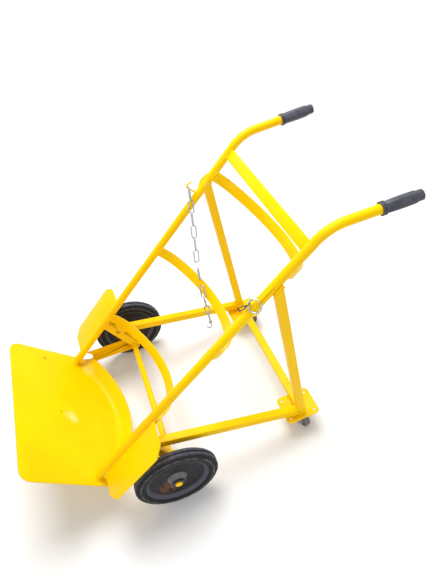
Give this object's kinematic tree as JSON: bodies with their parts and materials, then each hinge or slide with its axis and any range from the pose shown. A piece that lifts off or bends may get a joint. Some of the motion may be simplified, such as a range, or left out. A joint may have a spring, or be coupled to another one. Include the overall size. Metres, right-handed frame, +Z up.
{
  "type": "gas cylinder cart",
  "caption": "Leaning hand cart for a gas cylinder: tube rails, foot dish, cradle bands, two large wheels, rear casters, safety chain.",
  "frame": {"origin": "on the floor, under the middle of the whole cart as it stands parked on its wheels and casters", "axes": "+X runs across the cart along the axle, to the right for someone who faces the handles from the dish; +Y from the dish towards the handles; +Z up"},
  "size_m": [0.7008, 1.141, 0.7949],
  "materials": {
    "yellow_enamel": "glossy enamel with small chips",
    "grip_rubber": "satin",
    "tyre_rubber": "matt",
    "wheel_paint": "dull grey paint with a little rust",
    "bush_plastic": "matt",
    "caster_tread": "matt",
    "spring_steel": "dark oiled",
    "chain_zinc": "galvanised",
    "ring_steel": "bright zinc",
    "tarnished_steel": "tarnished",
    "bright_steel": "zinc plated",
    "zinc_plate": "dull zinc plated"
  },
  "bodies": {
    "frame": {"left_rail": "yellow_enamel", "right_rail": "yellow_enamel", "left_grip": "grip_rubber", "right_grip": "grip_rubber", "cylinder_dish": "yellow_enamel", "left_wheel_guard": "yellow_enamel", "right_wheel_guard": "yellow_enamel", "top_crossbar": "yellow_enamel", "upper_band": "yellow_enamel", "middle_band": "yellow_enamel", "lower_band": "yellow_enamel", "left_base_tube": "yellow_enamel", "right_base_tube": "yellow_enamel", "left_post": "yellow_enamel", "right_post": "yellow_enamel", "rear_cross_tube": "yellow_enamel", "left_axle_strut": "yellow_enamel", "right_axle_strut": "yellow_enamel", "left_foot_angle": "yellow_enamel", "right_foot_angle": "yellow_enamel", "axle_bar": "yellow_enamel", "axle_collars": "yellow_enamel", "axle_washers": "bright_steel", "axle_clips": "spring_steel", "left_caster_plate": "yellow_enamel", "right_caster_plate": "yellow_enamel", "left_kingpin": "bright_steel", "right_kingpin": "bright_steel", "hook_lug": "yellow_enamel", "chain_hook": "yellow_enamel", "ring_lug": "yellow_enamel"},
    "left_wheel": {"left_tyre": "tyre_rubber", "left_wheel_disc": "wheel_paint", "left_hub_bushes": "bush_plastic"},
    "right_wheel": {"right_tyre": "tyre_rubber", "right_wheel_disc": "wheel_paint", "right_hub_bushes": "bush_plastic"},
    "left_caster": {"left_caster_fork": "zinc_plate", "left_caster_bolt": "bright_steel", "left_caster_nut": "bright_steel", "left_caster_sleeve": "bright_steel"},
    "right_caster": {"right_caster_fork": "zinc_plate", "right_caster_bolt": "bright_steel", "right_caster_nut": "bright_steel", "right_caster_sleeve": "bright_steel"},
    "left_caster_roller": {"left_caster_wheel": "caster_tread"},
    "right_caster_roller": {"right_caster_wheel": "caster_tread"},
    "upper_chain": {"chain_upper_links": "chain_zinc"},
    "lower_chain": {"chain_lower_links": "chain_zinc", "chain_end_hook": "chain_zinc"},
    "ring": {"keeper_ring": "ring_steel"},
    "snap": {"snap_hook": "tarnished_steel"}
  },
  "joints": [
    {"name": "left_wheel_spin", "type": "hinge", "parent": "frame", "child": "left_wheel", "pos_m": [-0.317, -0.19719, 0.125], "axis": [1, 0, 0], "continuous": true},
    {"name": "right_wheel_spin", "type": "hinge", "parent": "frame", "child": "right_wheel", "pos_m": [0.317, -0.19719, 0.125], "axis": [1, 0, 0], "continuous": true},
    {"name": "left_caster_swivel", "type": "hinge", "parent": "frame", "child": "left_caster", "pos_m": [-0.23226, 0.23281, 0.06], "axis": [0, 0, 1], "continuous": true},
    {"name": "right_caster_swivel", "type": "hinge", "parent": "frame", "child": "right_caster", "pos_m": [0.23226, 0.23281, 0.06], "axis": [0, 0, 1], "continuous": true},
    {"name": "left_caster_spin", "type": "hinge", "parent": "left_caster", "child": "left_caster_roller", "pos_m": [-0.22406, 0.25537, 0.026], "axis": [0.9397, -0.342, 0], "continuous": true},
    {"name": "right_caster_spin", "type": "hinge", "parent": "right_caster", "child": "right_caster_roller", "pos_m": [0.25574, 0.2378, 0.026], "axis": [0.2079, -0.9781, 0], "continuous": true},
    {"name": "chain_swing", "type": "hinge", "parent": "frame", "child": "upper_chain", "pos_m": [-0.24733, 0.14439, 0.66563], "axis": [-0.9045, 0, -0.4265], "range_deg": [0, 30]},
    {"name": "chain_end_swing", "type": "hinge", "parent": "upper_chain", "child": "lower_chain", "pos_m": [-0.07541, 0.07598, 0.37437], "axis": [-0.4363, -0.8544, -0.2822], "range_deg": [-12, 20]},
    {"name": "ring_swing", "type": "hinge", "parent": "frame", "child": "ring", "pos_m": [0.25898, 0.15048, 0.63925], "axis": [-0.7793, -0.3876, 0.4924], "range_deg": [0, 100]},
    {"name": "snap_swing", "type": "hinge", "parent": "ring", "child": "snap", "pos_m": [0.24627, 0.12616, 0.62785], "axis": [-0.3842, 0.3682, 0.8467], "range_deg": [0, 110]}
  ]
}
